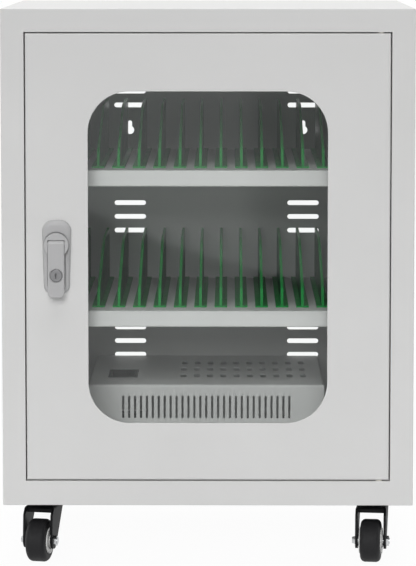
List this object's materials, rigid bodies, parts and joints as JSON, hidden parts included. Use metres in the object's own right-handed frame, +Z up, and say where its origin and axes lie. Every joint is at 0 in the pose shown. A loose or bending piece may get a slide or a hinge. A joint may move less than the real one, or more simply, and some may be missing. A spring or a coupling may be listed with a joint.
{
  "type": "phone charging cabinet",
  "caption": "Steel cabinet on swivel casters with a glazed lockable door, shelves of upright phone dividers and a slotted power box for charging.",
  "frame": {"origin": "on the floor under the middle of the whole cabinet's box", "axes": "+Z up, the door faces -Y, +X to the right of someone facing the door"},
  "size_m": [0.5, 0.4188, 0.685],
  "materials": {
    "body_paint": "fine satin powder coat",
    "divider_plastic": "glossy moulded",
    "window_glass": "clear polished",
    "lock_coat": "satin grey die casting",
    "lock_plug": "satin chrome",
    "plated_steel": "zinc plated",
    "black_plastic": "matt",
    "supply_case": "satin",
    "nylon": "matt",
    "bumper_rubber": "matt",
    "fork_paint": "semi-gloss black",
    "hub_plastic": "satin moulded",
    "tyre": "matt"
  },
  "bodies": {
    "cabinet": {"side_panel_left": "body_paint", "side_panel_right": "body_paint", "top_panel": "body_paint", "bottom_panel": "body_paint", "back_panel": "body_paint", "shelf_upper": "body_paint", "shelf_lower": "body_paint", "shelf_rails": "body_paint", "dividers_upper": "divider_plastic", "dividers_lower": "divider_plastic", "power_cover": "body_paint", "cable_port_liner": "black_plastic", "power_supply": "supply_case", "usb_hub": "black_plastic", "mains_inlet": "black_plastic", "hinge_pins": "plated_steel", "hinge_washers": "nylon", "door_bumpers": "bumper_rubber", "caster_bolts": "plated_steel", "caster_plate_front_left": "fork_paint", "caster_plate_front_right": "fork_paint", "caster_plate_rear_left": "fork_paint", "caster_plate_rear_right": "fork_paint"},
    "door": {"door_panel": "body_paint", "window_glass": "window_glass", "glass_clips": "plated_steel", "lock_housing": "lock_coat", "lock_nut": "plated_steel"},
    "turret": {"lock_spindle": "lock_coat", "lock_cam": "plated_steel", "cam_screw": "plated_steel", "lever_pin": "plated_steel"},
    "lever": {"lock_lever": "lock_coat"},
    "key_plug": {"key_cylinder": "lock_plug"},
    "swivel_front_left": {"fork_front_left": "fork_paint", "axle_front_left": "plated_steel"},
    "wheel_front_left": {"hub_front_left": "hub_plastic", "tyre_front_left": "tyre"},
    "swivel_front_right": {"fork_front_right": "fork_paint", "axle_front_right": "plated_steel"},
    "wheel_front_right": {"hub_front_right": "hub_plastic", "tyre_front_right": "tyre"},
    "swivel_rear_left": {"fork_rear_left": "fork_paint", "axle_rear_left": "plated_steel"},
    "wheel_rear_left": {"hub_rear_left": "hub_plastic", "tyre_rear_left": "tyre"},
    "swivel_rear_right": {"fork_rear_right": "fork_paint", "axle_rear_right": "plated_steel"},
    "wheel_rear_right": {"hub_rear_right": "hub_plastic", "tyre_rear_right": "tyre"}
  },
  "joints": [
    {"name": "door_hinge", "type": "hinge", "parent": "cabinet", "child": "door", "pos_m": [0.2085, -0.18605, 0.3835], "axis": [0, 0, 1], "range_deg": [0, 115]},
    {"name": "handle_turn", "type": "hinge", "parent": "door", "child": "turret", "pos_m": [-0.183, -0.19105, 0.4004], "axis": [0, -1, 0], "range_deg": [0, 90]},
    {"name": "lever_lift", "type": "hinge", "parent": "turret", "child": "lever", "pos_m": [-0.183, -0.20385, 0.4019], "axis": [-1, 0, 0], "range_deg": [0, 30]},
    {"name": "key_turn", "type": "hinge", "parent": "lever", "child": "key_plug", "pos_m": [-0.183, -0.20385, 0.3639], "axis": [0, -1, 0], "range_deg": [0, 90]},
    {"name": "swivel_front_left", "type": "hinge", "parent": "cabinet", "child": "swivel_front_left", "pos_m": [-0.204, -0.12105, 0.066], "axis": [0, 0, 1], "continuous": true},
    {"name": "wheel_spin_front_left", "type": "hinge", "parent": "swivel_front_left", "child": "wheel_front_left", "pos_m": [-0.2085, -0.14054, 0.0265], "axis": [0.9744, -0.225, 0], "continuous": true},
    {"name": "swivel_front_right", "type": "hinge", "parent": "cabinet", "child": "swivel_front_right", "pos_m": [0.204, -0.12105, 0.066], "axis": [0, 0, 1], "continuous": true},
    {"name": "wheel_spin_front_right", "type": "hinge", "parent": "swivel_front_right", "child": "wheel_front_right", "pos_m": [0.20156, -0.1409, 0.0265], "axis": [0.9925, -0.1219, 0], "continuous": true},
    {"name": "swivel_rear_left", "type": "hinge", "parent": "cabinet", "child": "swivel_rear_left", "pos_m": [-0.219, 0.16295, 0.066], "axis": [0, 0, 1], "continuous": true},
    {"name": "wheel_spin_rear_left", "type": "hinge", "parent": "swivel_rear_left", "child": "wheel_rear_left", "pos_m": [-0.2176, 0.1829, 0.0265], "axis": [-0.9976, 0.0698, 0], "continuous": true},
    {"name": "swivel_rear_right", "type": "hinge", "parent": "cabinet", "child": "swivel_rear_right", "pos_m": [0.219, 0.16295, 0.066], "axis": [0, 0, 1], "continuous": true},
    {"name": "wheel_spin_rear_right", "type": "hinge", "parent": "swivel_rear_right", "child": "wheel_rear_right", "pos_m": [0.21726, 0.18287, 0.0265], "axis": [-0.9962, -0.0872, 0], "continuous": true}
  ]
}
